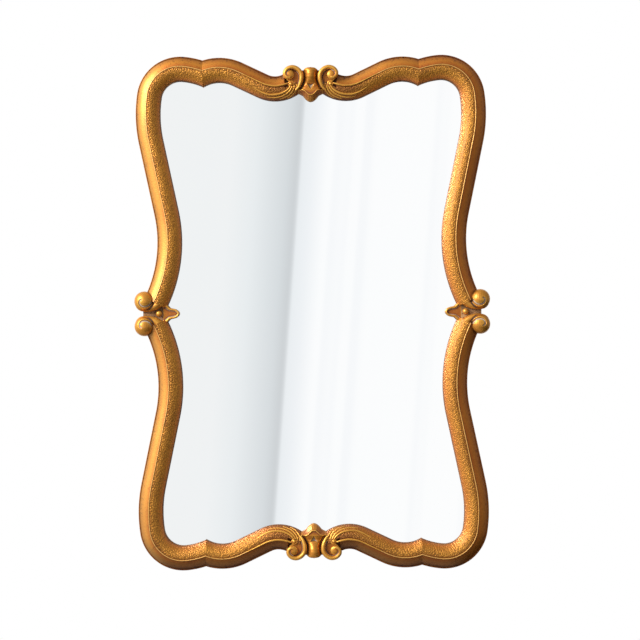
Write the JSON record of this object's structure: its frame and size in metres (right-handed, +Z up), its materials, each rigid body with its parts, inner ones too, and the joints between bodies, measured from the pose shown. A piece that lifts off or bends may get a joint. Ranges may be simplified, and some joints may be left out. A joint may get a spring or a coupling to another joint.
{
  "type": "wall mirror",
  "caption": "Portrait wall mirror in a scalloped gilded moulding with carved scrolls, side volutes and leaves; the glass is held from behind by turn buttons and hangs on swinging rings.",
  "frame": {"origin": "the middle of the mirror on the wall plane, which the backs of the wall bumpers touch", "axes": "+X to the viewer's right, +Y into the wall, +Z up; the glass looks along -Y"},
  "size_m": [0.6836, 0.0465, 0.9882],
  "materials": {
    "gilded_moulding": "antique gilt over red-brown ground, worn and stippled",
    "gilded_carving": "antique gilt, dark and chalky in the hollows",
    "bare_wood": "plain hardwood",
    "silvered_glass": "flat silvered glass, polished",
    "hardboard": "smooth brown hardboard",
    "felt": "black felt",
    "zinc_plate": "zinc-plated sheet and wire",
    "screw_steel": "zinc-plated screws",
    "rubber": "matt dark rubber"
  },
  "bodies": {
    "frame": {"top_rail": "gilded_moulding", "bottom_rail": "gilded_moulding", "left_stile": "gilded_moulding", "right_stile": "gilded_moulding", "top_keystone": "gilded_carving", "bottom_keystone": "gilded_carving", "top_right_scroll": "gilded_carving", "top_right_leaf_spray": "gilded_carving", "top_left_scroll": "gilded_carving", "top_left_leaf_spray": "gilded_carving", "bottom_right_scroll": "gilded_carving", "bottom_right_leaf_spray": "gilded_carving", "bottom_left_scroll": "gilded_carving", "bottom_left_leaf_spray": "gilded_carving", "right_upper_volute": "gilded_carving", "right_lower_volute": "gilded_carving", "right_bead": "gilded_carving", "right_leaf": "gilded_carving", "left_upper_volute": "gilded_carving", "left_lower_volute": "gilded_carving", "left_bead": "gilded_carving", "left_leaf": "gilded_carving", "corner_splines": "bare_wood", "mirror_plate": "silvered_glass", "backing_board": "hardboard", "top_felt_strip": "felt", "bottom_felt_strip": "felt", "right_felt_strip": "felt", "left_felt_strip": "felt", "turn_button_screws": "screw_steel", "hanger_screws": "screw_steel", "right_hanger_strap": "zinc_plate", "left_hanger_strap": "zinc_plate", "wall_bumpers": "rubber"},
    "right_ring": {"right_hanger_ring": "zinc_plate"},
    "left_ring": {"left_hanger_ring": "zinc_plate"},
    "button_1": {"turn_button_1": "zinc_plate"},
    "button_2": {"turn_button_2": "zinc_plate"},
    "button_3": {"turn_button_3": "zinc_plate"},
    "button_4": {"turn_button_4": "zinc_plate"},
    "button_5": {"turn_button_5": "zinc_plate"},
    "button_6": {"turn_button_6": "zinc_plate"},
    "button_7": {"turn_button_7": "zinc_plate"},
    "button_8": {"turn_button_8": "zinc_plate"}
  },
  "joints": [
    {"name": "right_ring_swing", "type": "hinge", "parent": "frame", "child": "right_ring", "pos_m": [0.2796, -0.00325, 0.157], "axis": [1, 0, 0], "range_deg": [0, 180]},
    {"name": "left_ring_swing", "type": "hinge", "parent": "frame", "child": "left_ring", "pos_m": [-0.2796, -0.00325, 0.157], "axis": [1, 0, 0], "range_deg": [0, 180]},
    {"name": "button_1_turn", "type": "hinge", "parent": "frame", "child": "button_1", "pos_m": [0.29137, -0.006, 0.26279], "axis": [0, 1, 0], "continuous": true},
    {"name": "button_2_turn", "type": "hinge", "parent": "frame", "child": "button_2", "pos_m": [0.176, -0.006, 0.46561], "axis": [0, 1, 0], "continuous": true},
    {"name": "button_3_turn", "type": "hinge", "parent": "frame", "child": "button_3", "pos_m": [0.29137, -0.006, -0.26279], "axis": [0, 1, 0], "continuous": true},
    {"name": "button_4_turn", "type": "hinge", "parent": "frame", "child": "button_4", "pos_m": [0.176, -0.006, -0.46561], "axis": [0, 1, 0], "continuous": true},
    {"name": "button_5_turn", "type": "hinge", "parent": "frame", "child": "button_5", "pos_m": [-0.29137, -0.006, 0.26279], "axis": [0, 1, 0], "continuous": true},
    {"name": "button_6_turn", "type": "hinge", "parent": "frame", "child": "button_6", "pos_m": [-0.176, -0.006, 0.46561], "axis": [0, 1, 0], "continuous": true},
    {"name": "button_7_turn", "type": "hinge", "parent": "frame", "child": "button_7", "pos_m": [-0.29137, -0.006, -0.26279], "axis": [0, 1, 0], "continuous": true},
    {"name": "button_8_turn", "type": "hinge", "parent": "frame", "child": "button_8", "pos_m": [-0.176, -0.006, -0.46561], "axis": [0, 1, 0], "continuous": true}
  ]
}
